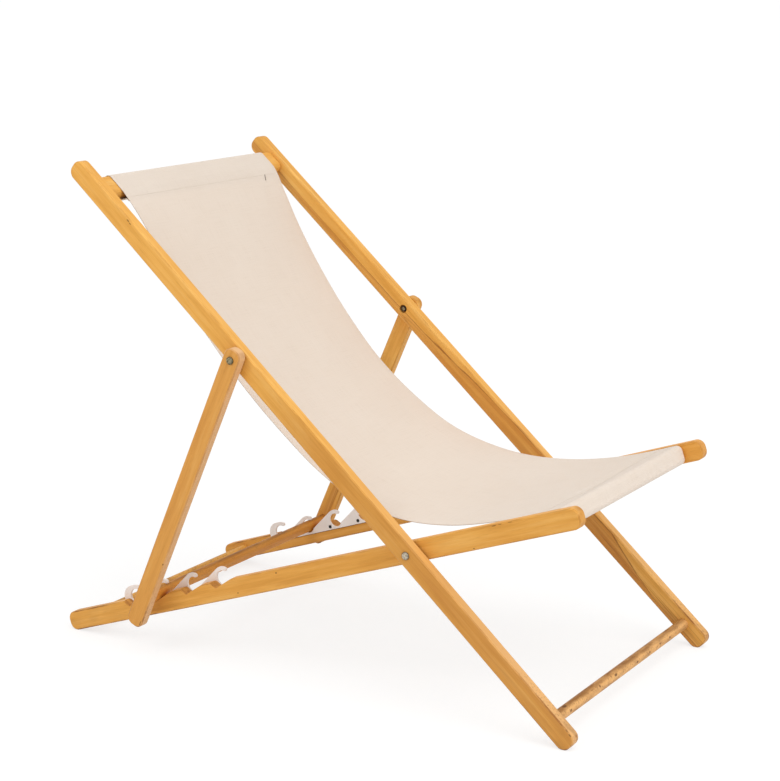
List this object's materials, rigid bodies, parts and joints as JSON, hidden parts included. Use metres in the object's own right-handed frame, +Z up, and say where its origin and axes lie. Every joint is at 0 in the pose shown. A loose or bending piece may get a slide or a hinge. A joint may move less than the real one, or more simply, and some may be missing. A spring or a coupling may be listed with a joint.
{
  "type": "folding deck chair",
  "caption": "Folding wooden deck chair with a hanging canvas sling, a propped back whose slope is set by notches, and plastic hooks that hold the prop bar.",
  "frame": {"origin": "on the floor, under the middle of the chair's bounding box", "axes": "+Z up, the sitter faces -Y, and X runs along the pivot bolts, so the chair mirrors left to right"},
  "size_m": [0.5826, 1.0108, 0.84],
  "materials": {
    "frame_wood": "clear varnished hardwood with an open grain",
    "hook_plastic": "off-white moulded plastic",
    "bolt_steel": "zinc-plated steel",
    "sling_canvas": "unbleached woven cotton canvas"
  },
  "bodies": {
    "back_frame": {"back_rail_left": "frame_wood", "back_rail_right": "frame_wood", "top_rail": "frame_wood", "foot_dowel": "frame_wood", "canvas_sling": "sling_canvas", "main_bolt_left": "bolt_steel", "main_bolt_right": "bolt_steel", "prop_bolt_left": "bolt_steel", "prop_bolt_right": "bolt_steel", "main_spacer_left": "bolt_steel", "main_spacer_right": "bolt_steel", "main_washer_left": "bolt_steel", "main_washer_right": "bolt_steel", "prop_washer_left": "bolt_steel", "prop_washer_right": "bolt_steel", "main_nut_left": "bolt_steel", "main_nut_right": "bolt_steel", "prop_nut_left": "bolt_steel", "prop_nut_right": "bolt_steel"},
    "seat_frame": {"seat_rail_left": "frame_wood", "seat_rail_right": "frame_wood", "front_rail": "frame_wood", "rear_dowel": "frame_wood", "hook_plate_left": "hook_plastic", "hook_plate_right": "hook_plastic"},
    "prop_frame": {"prop_leg_left": "frame_wood", "prop_leg_right": "frame_wood", "prop_bar": "frame_wood"}
  },
  "joints": [
    {"name": "frame_fold", "type": "hinge", "parent": "back_frame", "child": "seat_frame", "pos_m": [0, -0.2104, 0.26166], "axis": [-1, 0, 0], "range_deg": [0, 114.45], "deforming": ["canvas_sling"]},
    {"name": "prop_fold", "type": "hinge", "parent": "back_frame", "child": "prop_frame", "pos_m": [0, 0.10637, 0.54093], "axis": [-1, 0, 0], "range_deg": [0, 68.41]}
  ],
  "couplings": [
    {"joint": "prop_fold", "follows": "frame_fold", "ratio": 0.59769}
  ]
}
